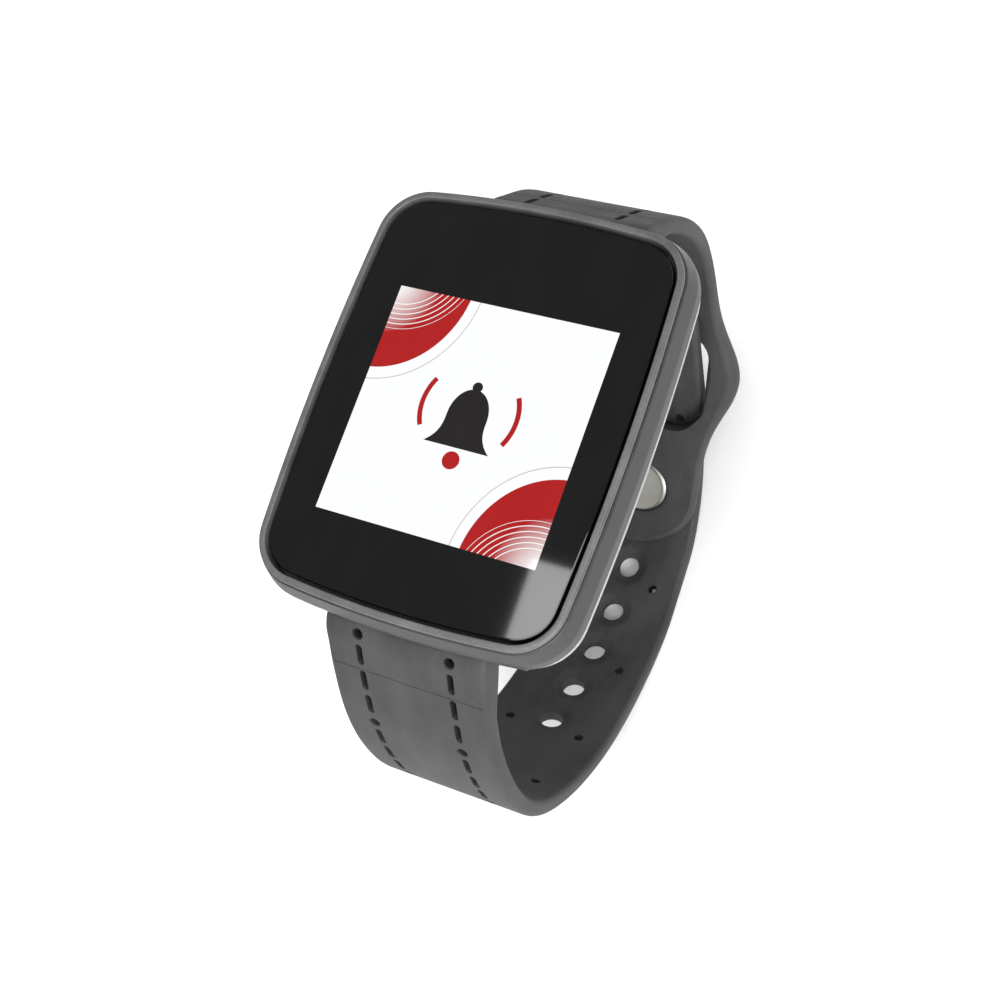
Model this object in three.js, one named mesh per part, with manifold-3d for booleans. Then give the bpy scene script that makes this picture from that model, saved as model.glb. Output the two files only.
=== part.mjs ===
// Wrist pager: a touch-screen call receiver in a watch case on a two-piece silicone strap.
// Millimetres, +Z up out of the screen, +X to the wearer's right of the screen, -Y towards 6 o'clock.
// The strap is closed into its loop and stands on its lowest point, which is Z = 0.
import * as THREE from 'three';
import { mergeVertices } from 'three/addons/utils/BufferGeometryUtils.js';
import Module from 'manifold-3d';

const wasm = await Module();
wasm.setup();

// ---------------------------------------------------------------- driving dimensions
// Every height below is measured from the front face of the glass, and every Y from its centre.
const GLASS_HEIGHT = 70.213;        // front of the glass above the lowest point of the strap
const GLASS_Y = 1.46;               // the glass centre sits this far from the middle of the loop

const GLASS_HALF_WIDTH = 18.6;
const GLASS_HALF_LENGTH = 23.95;
const SIDE_BOW = 200;               // radius of the long sides
const END_BOW = 125;                // radius of the 6 and 12 o'clock ends
const CORNER = 6.8;                 // radius of the corners
const GLASS_THICKNESS = 1.3;

const RIM_TOP = 0.4;                // the rim stands proud of the glass
const RIM_GAP = 0.43;               // dark gap between glass and rim
const RIM_OUTER = 1.25;             // rim's outer edge, outside the glass outline
const RIM_BOTTOM = -0.15;           // parting line under the rim
const LEDGE_TOP = -1.55;            // ledge that the glass is glued to
const LEDGE_BOTTOM = -2.4;

const WALL_OUTER = 2.1;             // widest line of the case, outside the glass outline
const WALL_INNER = -1.5;
const WALL_BOTTOM = -4.8;
const COVER_TOP = -5.05;
const COVER_BACK = -12.0;           // flat back of the case
const COVER_THICKNESS = 1.2;
const FLOOR = COVER_BACK + COVER_THICKNESS;

const BAR_Y = 23.7;                 // spring bar axes
const BAR_Z = -6.9;
const POCKET_HALF_WIDTH = 10.95;    // recess in the case that the strap end turns in
const POCKET_BACK = 21.0;
const POCKET_ROOF = -3.6;
const LUG_OUTER = 14.0;
const LUG_BOTTOM = -9.2;
const LUG_TIP = 24.9;
const END_WALL = 20.0;              // inner face of the wall behind the strap recess
const PAST_CASE = 40;               // a cutter this long runs out of the case

const STRAP_THICKNESS = 2.2;
const KNUCKLE_RADIUS = 2.2;
const STRAP_END_HALF_WIDTH = 10.4;
const STUD_PITCH = 7.4;             // spacing of the adjustment holes
const TOUCH_GAP = 0.3;              // running gap between two straps that lie on each other

// ---------------------------------------------------------------- materials
const finish = (color, roughness, metalness = 0) =>
  new THREE.MeshStandardMaterial({ color, roughness, metalness });

const darkPlastic = finish(0x4a4b4b, 0.55);
const rimPlastic = finish(0x6a6b6a, 0.4);
const coverPlastic = finish(0xc9c9c6, 0.35);
const blackGlass = finish(0x0b0c0c, 0.05);
const silicone = finish(0x454646, 0.7);
const sealRubber = finish(0x1b1b1b, 0.8);
const adhesive = finish(0x202020, 0.6);
const steel = finish(0xb9b8b2, 0.3, 1);
const screenWhite = finish(0xe8e8ea, 0.3);
const boardGreen = finish(0x1f5b3a, 0.6);
const chipBlack = finish(0x17181a, 0.5);
const foilSilver = finish(0xb5b8ba, 0.4, 0.6);
const flexAmber = finish(0xa8701f, 0.5);
const brassGold = finish(0xc9a24e, 0.3, 1);
const wireRed = finish(0xb3261e, 0.5);
const wireBlack = finish(0x1d1d1f, 0.5);

// ---------------------------------------------------------------- solids
const wrap = (geometry) => {
  geometry.deleteAttribute('normal');
  geometry.deleteAttribute('uv');
  const merged = mergeVertices(geometry, 1e-4);
  return new wasm.Manifold(new wasm.Mesh({
    numProp: 3,
    vertProperties: new Float32Array(merged.attributes.position.array),
    triVerts: new Uint32Array(merged.index.array),
  }));
};

// A closed body through rings of points, each ring convex and counter-clockwise seen from the last one.
const loft = (rings) => {
  const count = rings[0].length;
  const last = (rings.length - 1) * count;
  const index = [];
  for (let ring = 0; ring < rings.length - 1; ring += 1) {
    for (let i = 0; i < count; i += 1) {
      const a = ring * count + i;
      const b = ring * count + ((i + 1) % count);
      index.push(a, b, b + count, a, b + count, a + count);
    }
  }
  for (let i = 1; i < count - 1; i += 1) {
    index.push(0, i + 1, i, last, last + i, last + i + 1);
  }
  const geometry = new THREE.BufferGeometry();
  const positions = rings.flat().flatMap((point) => [point.x, point.y, point.z]);
  geometry.setAttribute('position', new THREE.Float32BufferAttribute(positions, 3));
  geometry.setIndex(index);
  return wrap(geometry);
};

const box = (low, high) => {
  const size = high.map((value, axis) => value - low[axis]);
  const middle = high.map((value, axis) => (value + low[axis]) / 2);
  return wrap(new THREE.BoxGeometry(...size).translate(...middle));
};

const cylinder = (radius, from, to, segments = 16, radiusTo = radius) => {
  const start = new THREE.Vector3(...from);
  const along = new THREE.Vector3(...to).sub(start);
  const geometry = new THREE.CylinderGeometry(radiusTo, radius, along.length(), segments);
  geometry.translate(0, along.length() / 2, 0);
  const turn = new THREE.Quaternion().setFromUnitVectors(new THREE.Vector3(0, 1, 0), along.normalize());
  return wrap(geometry.applyQuaternion(turn).translate(...from));
};

// A ring turned about the X axis from [x, radius] points.
const turned = (profile, segments = 16) => {
  const points = profile.map(([x, radius]) => new THREE.Vector2(radius, x));
  return wrap(new THREE.LatheGeometry(points, segments).rotateZ(-Math.PI / 2));
};

const roundedPlate = (width, length, radius, low, high, x = 0, y = 0) => {
  const ringAt = (z) => {
    const ring = [];
    for (let quarter = 0; quarter < 4; quarter += 1) {
      const signX = quarter === 0 || quarter === 3 ? 1 : -1;
      const signY = quarter < 2 ? 1 : -1;
      for (let step = 0; step <= 3; step += 1) {
        const angle = ((quarter + step / 3) * Math.PI) / 2;
        ring.push(new THREE.Vector3(
          x + signX * (width / 2 - radius) + radius * Math.cos(angle),
          y + signY * (length / 2 - radius) + radius * Math.sin(angle),
          z,
        ));
      }
    }
    return ring;
  };
  return loft([ringAt(low), ringAt(high)]);
};

const join = (first, ...rest) => rest.reduce((sum, next) => sum.add(next), first);
const cut = (body, ...tools) => tools.reduce((left, tool) => left.subtract(tool), body);

const pager = new THREE.Group();
pager.position.set(0, GLASS_Y, GLASS_HEIGHT);

const place = (name, solid, material) => {
  const { vertProperties, triVerts } = solid.getMesh();
  const geometry = new THREE.BufferGeometry();
  geometry.setAttribute('position', new THREE.Float32BufferAttribute(vertProperties, 3));
  geometry.setIndex(Array.from(triVerts));
  geometry.computeVertexNormals();
  const mesh = new THREE.Mesh(geometry, material);
  mesh.name = name;
  pager.add(mesh);
};

// ---------------------------------------------------------------- case outline
// A quarter is three tangent arcs: the bowed side, the corner and the bowed end. An offset outline
// keeps the three centres and adds to the three radii.
const sideCentre = new THREE.Vector2(GLASS_HALF_WIDTH - SIDE_BOW, 0);
const endCentre = new THREE.Vector2(0, GLASS_HALF_LENGTH - END_BOW);
const cornerCentre = (() => {
  const reachSide = SIDE_BOW - CORNER;
  const reachEnd = END_BOW - CORNER;
  const between = endCentre.clone().sub(sideCentre);
  const distance = between.length();
  const along = (reachSide ** 2 - reachEnd ** 2 + distance ** 2) / (2 * distance);
  const across = Math.sqrt(reachSide ** 2 - along ** 2);
  const unit = between.normalize();
  const left = new THREE.Vector2(-unit.y, unit.x);
  return sideCentre.clone().addScaledVector(unit, along).addScaledVector(left, across);
})();
const sideAngle = cornerCentre.clone().sub(sideCentre).angle();
const endAngle = cornerCentre.clone().sub(endCentre).angle();

const quarterOutline = (offset) => {
  const arcs = [
    [sideCentre, SIDE_BOW, 0, sideAngle, 3],
    [cornerCentre, CORNER, sideAngle, endAngle, 6],
    [endCentre, END_BOW, endAngle, Math.PI / 2, 3],
  ];
  return arcs.flatMap(([centre, radius, from, to, steps]) =>
    Array.from({ length: steps }, (_, step) => {
      const angle = from + ((to - from) * step) / steps;
      return [
        centre.x + (radius + offset) * Math.cos(angle),
        centre.y + (radius + offset) * Math.sin(angle),
      ];
    }));
};

const outline = (offset, z) => {
  const quarter = quarterOutline(offset);
  const top = [0, GLASS_HALF_LENGTH + offset];
  const right = [quarter[0]];
  const upper = [...quarter, top, ...quarter.slice(1).reverse().map(([x, y]) => [-x, y])];
  const lower = [[-right[0][0], 0], ...quarter.slice(1).map(([x, y]) => [-x, -y]),
    [0, -top[1]], ...quarter.slice(1).reverse().map(([x, y]) => [x, -y])];
  return [...upper, ...lower].map(([x, y]) => new THREE.Vector3(x, y, z));
};

// A solid from [offset, z] pairs given from the bottom up.
const caseSolid = (...pairs) => loft(pairs.map(([offset, z]) => outline(offset, z)));

// ---------------------------------------------------------------- glass and front bezel
const EDGE_BEVEL = 0.22;
place('glass_lens', caseSolid(
  [0, -GLASS_THICKNESS],
  [0, -EDGE_BEVEL],
  [-EDGE_BEVEL, 0],
), blackGlass);

const SCREEN_X = 0.2;               // the display sits a little off the glass centre
const SCREEN_Y = -1.85;
const SCREEN_WIDTH = 31.5;
const SCREEN_LENGTH = 32.4;
const SCREEN_ROOM = 0.35;
const screenOpening = (low, high) => roundedPlate(
  SCREEN_WIDTH + 2 * SCREEN_ROOM, SCREEN_LENGTH + 2 * SCREEN_ROOM, 1, low, high, SCREEN_X, SCREEN_Y);

place('lens_adhesive', cut(
  caseSolid([-0.3, LEDGE_TOP + 0.05], [-0.3, -GLASS_THICKNESS - 0.05]),
  screenOpening(LEDGE_TOP - 1, 0),
), adhesive);

place('front_bezel', cut(
  caseSolid(
    [0.9, LEDGE_BOTTOM],
    [0.9, RIM_BOTTOM],
    [RIM_OUTER, RIM_BOTTOM],
    [RIM_OUTER, RIM_TOP - 0.15],
    [RIM_OUTER - 0.15, RIM_TOP],
  ),
  caseSolid([RIM_GAP, LEDGE_TOP], [RIM_GAP, RIM_TOP + 1]),
  screenOpening(LEDGE_BOTTOM - 1, 0),
), rimPlastic);

// ---------------------------------------------------------------- mid case
const SCREW_X = 13.2;
const SCREW_Y = 16.6;
const BOSS_RADIUS = 2.0;
const PLATE_TOP = -3.7;             // web between the display and the circuit board
const PLATE_BOTTOM = -4.5;
const BOSS_BOTTOM = FLOOR + 0.1;
const BAR_BORE = 0.55;
const PIN_REACH = 12.5;             // spring bar tips end here
const FLEX_SLOT_Y = -18.1;
const KEY_Z = -3.35;
const KEY_HALF_LENGTH = 3.6;
const KEY_HALF_HEIGHT = 0.75;
const KEY_Y = 6.0;

const bothEnds = [-1, 1];
const screwPlaces = [[SCREW_X, SCREW_Y], [-SCREW_X, SCREW_Y], [-SCREW_X, -SCREW_Y], [SCREW_X, -SCREW_Y]];

const endBox = (end, halfWidth, near, far, low, high) => box(
  [-halfWidth, Math.min(end * near, end * far), low],
  [halfWidth, Math.max(end * near, end * far), high]);
const strapPocket = (end) => endBox(end, POCKET_HALF_WIDTH, POCKET_BACK, PAST_CASE, -PAST_CASE, POCKET_ROOF);
const lugBlock = (end) => endBox(end, LUG_OUTER, END_WALL, LUG_TIP, LUG_BOTTOM, PLATE_TOP);

const barBores = (end) => join(...bothEnds.map((side) => cylinder(
  BAR_BORE, [side * (POCKET_HALF_WIDTH - 1), end * BAR_Y, BAR_Z], [side * (PIN_REACH + 0.3), end * BAR_Y, BAR_Z])));

const KEY_SHOULDER = -19.1;
const keyAxis = (x) => [x, KEY_Y, KEY_Z];
const keySlab = (extra, low, high) => roundedPlate(
  2 * (KEY_HALF_HEIGHT + extra), 2 * (KEY_HALF_LENGTH + extra), 0.65, -high, -low)
  .rotate([0, -90, 0]).translate([0, KEY_Y, KEY_Z]);
const keyRoom = [
  keySlab(0.1, -30, KEY_SHOULDER + 0.9),
  cylinder(0.55, keyAxis(KEY_SHOULDER), keyAxis(-14), 12),
  box([-17.2, KEY_Y - 1.9, -10], [-14.6, KEY_Y + 1.9, -2.5]),
];

const midCase = (() => {
  const shell = caseSolid(
    [WALL_OUTER - 0.25, WALL_BOTTOM],
    [WALL_OUTER, WALL_BOTTOM + 0.5],
    [WALL_OUTER, -2.6],
    [WALL_OUTER - 0.35, -1.3],
    [1.45, -0.3],
  );
  const hollow = cut(
    caseSolid([WALL_INNER, WALL_BOTTOM - 1], [WALL_INNER, 1]),
    caseSolid([WALL_INNER + 1, PLATE_BOTTOM], [WALL_INNER + 1, PLATE_TOP]),
  );
  const bezelSeat = caseSolid([1.0, LEDGE_BOTTOM - 0.05], [1.0, 1]);
  const flexSlot = box([-6.5, FLEX_SLOT_Y - 0.5, -6], [6.5, FLEX_SLOT_Y + 2.2, -3]);
  const bosses = screwPlaces.map(([x, y]) => cylinder(BOSS_RADIUS, [x, y, BOSS_BOTTOM], [x, y, PLATE_TOP]));
  const bossBores = screwPlaces.map(([x, y]) => cylinder(0.9, [x, y, -20], [x, y, PLATE_BOTTOM], 12));
  return cut(
    join(cut(shell, hollow, bezelSeat), ...bothEnds.map(lugBlock), ...bosses),
    ...bothEnds.map(strapPocket),
    ...bothEnds.map(barBores),
    ...bossBores,
    flexSlot,
    ...keyRoom,
  );
})();
place('mid_case', midCase, darkPlastic);

// ---------------------------------------------------------------- rear cover, its seal and screws
const COVER_EDGE = 1.75;            // cover's widest line, outside the glass outline
const COVER_FLAT = -3.4;            // flat back, inside the glass outline
const COVER_END_WALL = 1.3;         // cover's wall behind each strap recess
const LUG_CLEARANCE = 0.25;
const screwHead = { radius: 1.65, room: 0.2, depth: 0.7 };
const CONTACT_RADIUS = 0.95;
const contactPlaces = [[-3, 15.6], [3, 15.6]];

const SEAL_DEPTH = 0.5;
const sealRing = (clearance, low, high) => cut(
  roundedPlate(35.8 + 2 * clearance, 39.1 + 2 * clearance, 2, low, high),
  roundedPlate(34.5 - 2 * clearance, 37.8 - 2 * clearance, 1.4, low - 1, high + 1),
);

const rearCover = (() => {
  const shell = caseSolid(
    [COVER_FLAT, COVER_BACK],
    [COVER_FLAT + 1.4, COVER_BACK + 0.35],
    [COVER_EDGE - 1.2, -8.6],
    [COVER_EDGE, -6.0],
    [COVER_EDGE, COVER_TOP],
  );
  const hollow = caseSolid(
    [COVER_FLAT - 0.9, FLOOR],
    [COVER_FLAT + 0.6, FLOOR + 0.3],
    [WALL_INNER, -8.2],
    [WALL_INNER, 0],
  ).intersect(box(
    [-PAST_CASE, COVER_END_WALL - END_WALL, -PAST_CASE],
    [PAST_CASE, END_WALL - COVER_END_WALL, PAST_CASE]));
  const lugRoom = (end) => endBox(
    end, LUG_OUTER + LUG_CLEARANCE, END_WALL - LUG_CLEARANCE, PAST_CASE, -PAST_CASE, PAST_CASE);
  const screwHoles = screwPlaces.flatMap(([x, y]) => [
    cylinder(1.05, [x, y, -20], [x, y, 0], 12),
    cylinder(screwHead.radius + screwHead.room, [x, y, -20], [x, y, COVER_BACK + screwHead.depth + 0.1], 16),
  ]);
  const bossRoom = screwPlaces.map(([x, y]) =>
    cylinder(BOSS_RADIUS + 0.15, [x, y, FLOOR], [x, y, 0], 16));
  const contactHoles = contactPlaces.map(([x, y]) =>
    cylinder(CONTACT_RADIUS + 0.05, [x, y, -20], [x, y, 0], 16));
  const sealGroove = sealRing(0.05, COVER_TOP - SEAL_DEPTH - 0.05, 0);
  return cut(shell, hollow, sealGroove, ...bothEnds.map(lugRoom), ...screwHoles, ...bossRoom, ...contactHoles);
})();
place('rear_cover', rearCover, coverPlastic);

place('case_seal', sealRing(0, COVER_TOP - SEAL_DEPTH, WALL_BOTTOM - 0.03), sealRubber);

screwPlaces.forEach(([x, y], number) => {
  const headTop = COVER_BACK + 0.08 + screwHead.depth;
  const recess = bothEnds.map((turn) => box(
    [x - (turn > 0 ? 0.9 : 0.2), y - (turn > 0 ? 0.2 : 0.9), COVER_BACK - 1],
    [x + (turn > 0 ? 0.9 : 0.2), y + (turn > 0 ? 0.2 : 0.9), COVER_BACK + 0.45]));
  const screw = join(
    cylinder(screwHead.radius, [x, y, COVER_BACK + 0.08], [x, y, headTop], 20),
    cylinder(0.75, [x, y, headTop - 0.1], [x, y, -6.6], 12),
  );
  place(`rear_screw_${number + 1}`, cut(screw, ...recess), steel);
});

contactPlaces.forEach(([x, y], number) => {
  place(`charge_contact_${number + 1}`, join(
    cylinder(CONTACT_RADIUS, [x, y, COVER_BACK + 0.05], [x, y, FLOOR + 0.1], 16),
    cylinder(CONTACT_RADIUS + 0.4, [x, y, FLOOR + 0.06], [x, y, FLOOR + 0.5], 16),
  ), brassGold);
});

// ---------------------------------------------------------------- display
const screenPlate = (length, low, high, y) =>
  roundedPlate(SCREEN_WIDTH, length, 0.6, low, high, SCREEN_X, y);
place('lcd_panel', screenPlate(SCREEN_LENGTH, -2.3, -1.4, SCREEN_Y), screenWhite);
place('lcd_backlight', screenPlate(SCREEN_LENGTH - 1.4, -3.4, -2.36, SCREEN_Y + 0.7), foilSilver);

const flexPath = { top: -2.36, front: FLEX_SLOT_Y, board: -5.28, thickness: 0.14 };
place('lcd_flex', join(
  box([-5.5, flexPath.front - 0.1, flexPath.top - flexPath.thickness], [5.5, flexPath.front + 0.6, flexPath.top]),
  box([-5.5, flexPath.front - 0.1, flexPath.board], [5.5, flexPath.front - 0.1 + flexPath.thickness, flexPath.top]),
  box([-5.5, flexPath.front - 0.1, flexPath.board - flexPath.thickness], [5.5, -14.5, flexPath.board]),
), flexAmber);

// ---------------------------------------------------------------- circuit board and its parts
const BOARD_TOP = -5.5;
const BOARD_BOTTOM = -6.3;
place('main_board', cut(
  roundedPlate(32.0, 37.0, 3, BOARD_BOTTOM, BOARD_TOP),
  ...screwPlaces.map(([x, y]) => cylinder(BOSS_RADIUS + 0.3, [x, y, -20], [x, y, 0])),
), boardGreen);

place('rf_shield', cut(
  roundedPlate(13, 11, 0.6, BOARD_BOTTOM - 1.3, BOARD_BOTTOM - 0.05, -3.5, 5.5),
  roundedPlate(12.6, 10.6, 0.4, BOARD_BOTTOM - 1.15, BOARD_BOTTOM + 1, -3.5, 5.5),
), foilSilver);
place('radio_chip', roundedPlate(4, 4, 0.2, BOARD_BOTTOM - 0.85, BOARD_BOTTOM - 0.05, -5, 6), chipBlack);
place('processor_chip', roundedPlate(6, 6, 0.2, BOARD_BOTTOM - 0.95, BOARD_BOTTOM - 0.05, 7.6, 4.5), chipBlack);
place('clock_crystal', roundedPlate(3.2, 2.5, 0.2, BOARD_BOTTOM - 0.8, BOARD_BOTTOM - 0.05, 7.6, -1.2), foilSilver);

place('antenna', join(
  box([14.6, -11, -8.6], [14.9, 10.6, -6.4]),
  box([11.8, -11, -8.6], [14.9, -10.7, -6.4]),
), brassGold);

place('battery_cell', roundedPlate(22, 23.4, 1.2, FLOOR + 0.15, FLOOR + 2.75, 0, -1.2), foilSilver);
place('battery_pad', roundedPlate(18, 14, 1, FLOOR + 2.8, FLOOR + 3.1, 0, -4.5), sealRubber);
place('battery_plug', roundedPlate(4.6, 3.2, 0.3, BOARD_BOTTOM - 1.35, BOARD_BOTTOM - 0.05, 9.4, 12.6), screenWhite);

const lead = (offset) => {
  const route = new THREE.CatmullRomCurve3([
    new THREE.Vector3(3.4 + offset, 10.75, FLOOR + 1.2),
    new THREE.Vector3(3.9 + offset, 12.2, FLOOR + 1.3),
    new THREE.Vector3(5.2 + offset, 12.9 - offset * 0.4, FLOOR + 2.2),
    new THREE.Vector3(6.9, 12.6 - offset * 0.7, BOARD_BOTTOM - 0.75),
  ]);
  const section = new THREE.Shape().absarc(0, 0, 0.32, 0, 2 * Math.PI);
  return wrap(new THREE.ExtrudeGeometry(section, {
    steps: 10, curveSegments: 8, extrudePath: route, bevelEnabled: false,
  }));
};
place('battery_lead_positive', lead(0.6), wireRed);
place('battery_lead_negative', lead(-0.6), wireBlack);

place('buzzer', cut(
  roundedPlate(7.5, 5.6, 0.5, BOARD_BOTTOM - 2.5, BOARD_BOTTOM - 0.05, -4.6, 15.4),
  cylinder(0.8, [-4.6, 15.4, -12], [-4.6, 15.4, BOARD_BOTTOM - 2.1], 12),
), chipBlack);

// ---------------------------------------------------------------- vibration motor
const motor = { y: -16.2, z: -8.55, can: 1.7, from: -8.4, to: -0.6, shaft: 0.35, weight: 1.75 };
const onMotorAxis = (x) => [x, motor.y, motor.z];
place('motor_can', cut(
  cylinder(motor.can, onMotorAxis(motor.from), onMotorAxis(motor.to), 20),
  cylinder(motor.shaft + 0.08, onMotorAxis(motor.to - 3), onMotorAxis(motor.to + 1), 12),
), steel);
place('motor_boot', cut(
  box([motor.from + 1, motor.y - 2.1, motor.z - 2.1], [motor.to - 1.4, motor.y + 2.1, motor.z + 2.1]),
  cylinder(motor.can + 0.05, onMotorAxis(motor.from - 2), onMotorAxis(motor.to + 2), 20),
), sealRubber);
place('motor_shaft', cylinder(motor.shaft, onMotorAxis(motor.to - 2.8), onMotorAxis(motor.to + 4.4), 12), steel);
place('motor_weight', cut(
  join(
    cylinder(motor.weight, onMotorAxis(motor.to + 0.6), onMotorAxis(motor.to + 4.1), 20)
      .intersect(box([-10, motor.y - 3, motor.z - 3], [10, motor.y + 3, motor.z])),
    cylinder(0.85, onMotorAxis(motor.to + 0.6), onMotorAxis(motor.to + 4.1), 16),
  ),
  cylinder(motor.shaft + 0.05, onMotorAxis(-10), onMotorAxis(10), 12),
), brassGold);

// ---------------------------------------------------------------- power key on the 9 o'clock side
const KEY_FACE = -(GLASS_HALF_WIDTH + WALL_OUTER) - 0.25;
const KEY_TIP = -17.35;
place('power_key', join(
  keySlab(0, KEY_FACE, KEY_SHOULDER),
  cylinder(0.45, keyAxis(KEY_SHOULDER - 0.1), keyAxis(KEY_TIP), 12),
), rimPlastic);
place('key_seal', cut(
  cylinder(0.75, keyAxis(-18.55), keyAxis(-18.25), 16),
  cylinder(0.5, keyAxis(-30), keyAxis(0), 12),
), sealRubber);
place('key_switch', join(
  box([-16.75, KEY_Y - 1.6, -5.45], [-16.0, KEY_Y + 1.6, -2.6]),
  cylinder(0.5, keyAxis(-16.95), keyAxis(-16.7), 12),
), steel);

// ---------------------------------------------------------------- spring bars
const TUBE_RADIUS = 0.9;
const TUBE_BORE = 0.66;
const TUBE_HALF_LENGTH = 10.3;
const PIN_RADIUS = 0.6;
const PIN_TIP_RADIUS = 0.42;
const PIN_INNER = 5.2;
const PIN_SHOULDER = 10.7;
const SPRING_HALF_LENGTH = 5.0;

const springBar = (strap, end) => {
  const onBar = (solid) => solid.translate([0, end * BAR_Y, BAR_Z]);
  place(`${strap}_bar_tube`, onBar(turned([
    [-TUBE_HALF_LENGTH, TUBE_RADIUS],
    [TUBE_HALF_LENGTH, TUBE_RADIUS],
    [TUBE_HALF_LENGTH, TUBE_BORE],
    [-TUBE_HALF_LENGTH, TUBE_BORE],
    [-TUBE_HALF_LENGTH, TUBE_RADIUS],
  ])), steel);
  place(`${strap}_bar_spring`, onBar(turned([
    [-SPRING_HALF_LENGTH, 0.5],
    [SPRING_HALF_LENGTH, 0.5],
    [SPRING_HALF_LENGTH, 0.3],
    [-SPRING_HALF_LENGTH, 0.3],
    [-SPRING_HALF_LENGTH, 0.5],
  ], 12)), steel);
  bothEnds.forEach((side) => {
    const pin = turned([
      [PIN_INNER, 0],
      [PIN_INNER, PIN_RADIUS],
      [PIN_SHOULDER, PIN_RADIUS],
      [PIN_SHOULDER, PIN_TIP_RADIUS],
      [PIN_REACH - 0.2, PIN_TIP_RADIUS],
      [PIN_REACH, 0.25],
      [PIN_REACH, 0],
    ], 12);
    const turnedPin = side > 0 ? pin : pin.rotate([0, 180, 0]);
    place(`${strap}_bar_pin_${side > 0 ? 'right' : 'left'}`, onBar(turnedPin), steel);
  });
};
springBar('lower', -1);
springBar('upper', 1);

// ---------------------------------------------------------------- straps
// Each strap follows a curve in the Y-Z plane, drawn on its outer face from the spring bar to the tip.
const curveThrough = (...points) => new THREE.CatmullRomCurve3(
  points.map(([y, z]) => new THREE.Vector3(0, y, z)), false, 'centripetal');

const longCurve = curveThrough(
  [-23.7, -4.72], [-25.7, -4.85], [-27.3, -5.9], [-28.8, -7.9], [-31.3, -11.4], [-35.1, -17.8],
  [-37.8, -24.9], [-39.2, -32.5], [-38.7, -40], [-36.1, -47.3], [-31.6, -54.6], [-26.2, -60.4],
  [-20.4, -64.6], [-14.5, -67.6], [-10.2, -69.2], [-6.2, -70.12], [-2.2, -70.2], [1.8, -70.2],
  [5.4, -70.05], [8.6, -69.1],
  [11.8, -67.4], [14.8, -65.2], [17.6, -62.5], [20.2, -59.7], [22.7, -56.8], [24.8, -53.4],
  [26.3, -49.8], [27.7, -46], [29.5, -41.5], [31.1, -36.8], [32.2, -31.8], [32.5, -26.8]);
const strapFrame = (curve, end, u) => {
  const point = curve.getPointAt(u);
  const tangent = curve.getTangentAt(u);
  const inward = new THREE.Vector3(0, end * tangent.z, -end * tangent.y);
  return { point, tangent, inward };
};

const nearest = (curve, y, z) => {
  const samples = Array.from({ length: 801 }, (_, i) => i / 800);
  const distance = (u) => Math.hypot(curve.getPointAt(u).y - y, curve.getPointAt(u).z - z);
  return samples.reduce((best, u) => (distance(u) < distance(best) ? u : best), 0);
};
// Below its slot the short strap lies on the inner face of the long one.
const lapPoint = (y, z) => {
  const { point, inward } = strapFrame(longCurve, -1, nearest(longCurve, y, z));
  const lap = point.addScaledVector(inward, STRAP_THICKNESS + TOUCH_GAP);
  return [lap.y, lap.z];
};
const shortCurve = curveThrough(
  [23.7, -4.72], [25.9, -4.9], [27.5, -6.2], [29.1, -8.4], [32.2, -13.3], [34.9, -19.3],
  [36.2, -25.5], [36.0, -31], [34.9, -36.8], [33.1, -42], [30.9, -46.2], [28.1, -49.9],
  [24.6, -52.7], lapPoint(22.4, -57.2), lapPoint(20.2, -59.7), lapPoint(17.6, -62.5),
  lapPoint(14.8, -65.2), lapPoint(11.8, -67.4), lapPoint(8.6, -69.1), lapPoint(5.0, -70.1));

const lengthOf = { long: longCurve.getLength(), short: shortCurve.getLength() };
const SECTION_EDGE = 0.5;

const strapBand = (curve, end, from, to, steps, halfWidth, thickness) => {
  const total = curve.getLength();
  const rings = [];
  for (let step = 0; step <= steps; step += 1) {
    const u = from + ((to - from) * step) / steps;
    const { point, inward } = strapFrame(curve, end, u);
    const wide = halfWidth(u * total);
    const deep = thickness(u * total);
    const edge = Math.min(SECTION_EDGE, deep / 3);
    const section = [
      [-wide + edge, 0], [wide - edge, 0], [wide, edge], [wide, deep - edge],
      [wide - edge, deep], [-wide + edge, deep], [-wide, deep - edge], [-wide, edge],
    ];
    const ring = section.map(([x, depth]) => point.clone().addScaledVector(inward, depth).setX(x));
    rings.push(end > 0 ? ring : ring.reverse());
  }
  return loft(rings);
};

const ramp = (value, from, to, start, finish) =>
  THREE.MathUtils.lerp(start, finish, THREE.MathUtils.clamp((value - from) / (to - from), 0, 1));

const roundTip = (s, total, halfWidth) => {
  const radius = halfWidth(total);
  const into = Math.max(0, s - (total - radius));
  return into > 0 ? Math.sqrt(Math.max(radius ** 2 - into ** 2, 1)) : halfWidth(s);
};

const strapThickness = (s) => ramp(s, 3, 12, 2 * KNUCKLE_RADIUS - 0.1, STRAP_THICKNESS);
const longTaper = (s) => ramp(s, 25, 115, STRAP_END_HALF_WIDTH, 7.2);
const longHalfWidth = (s) => roundTip(s, lengthOf.long, longTaper);
const shortTaper = (s) => ramp(s, 8, 75, STRAP_END_HALF_WIDTH, 7.4);

const SLOT_PLACE = nearest(shortCurve, 26.6, -51.2);
const SLOT_HALF_WIDTH = 8.6;
const SLOT_LENGTH = 14.6;
const SLOT_RAIL = 4.2;
const slotArc = SLOT_PLACE * lengthOf.short;
const shortBody = (s) => shortTaper(s)
  + (SLOT_HALF_WIDTH + SLOT_RAIL - shortTaper(slotArc)) * Math.exp(-(((s - slotArc) / 7.2) ** 2));
const shortHalfWidth = (s) => roundTip(s, lengthOf.short, shortBody);

const alongInward = (curve, end, u, radius, reach) => {
  const { point, inward } = strapFrame(curve, end, u);
  const from = point.clone().addScaledVector(inward, -reach);
  const to = point.clone().addScaledVector(inward, reach);
  return cylinder(radius, from.toArray(), to.toArray(), 16);
};

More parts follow.
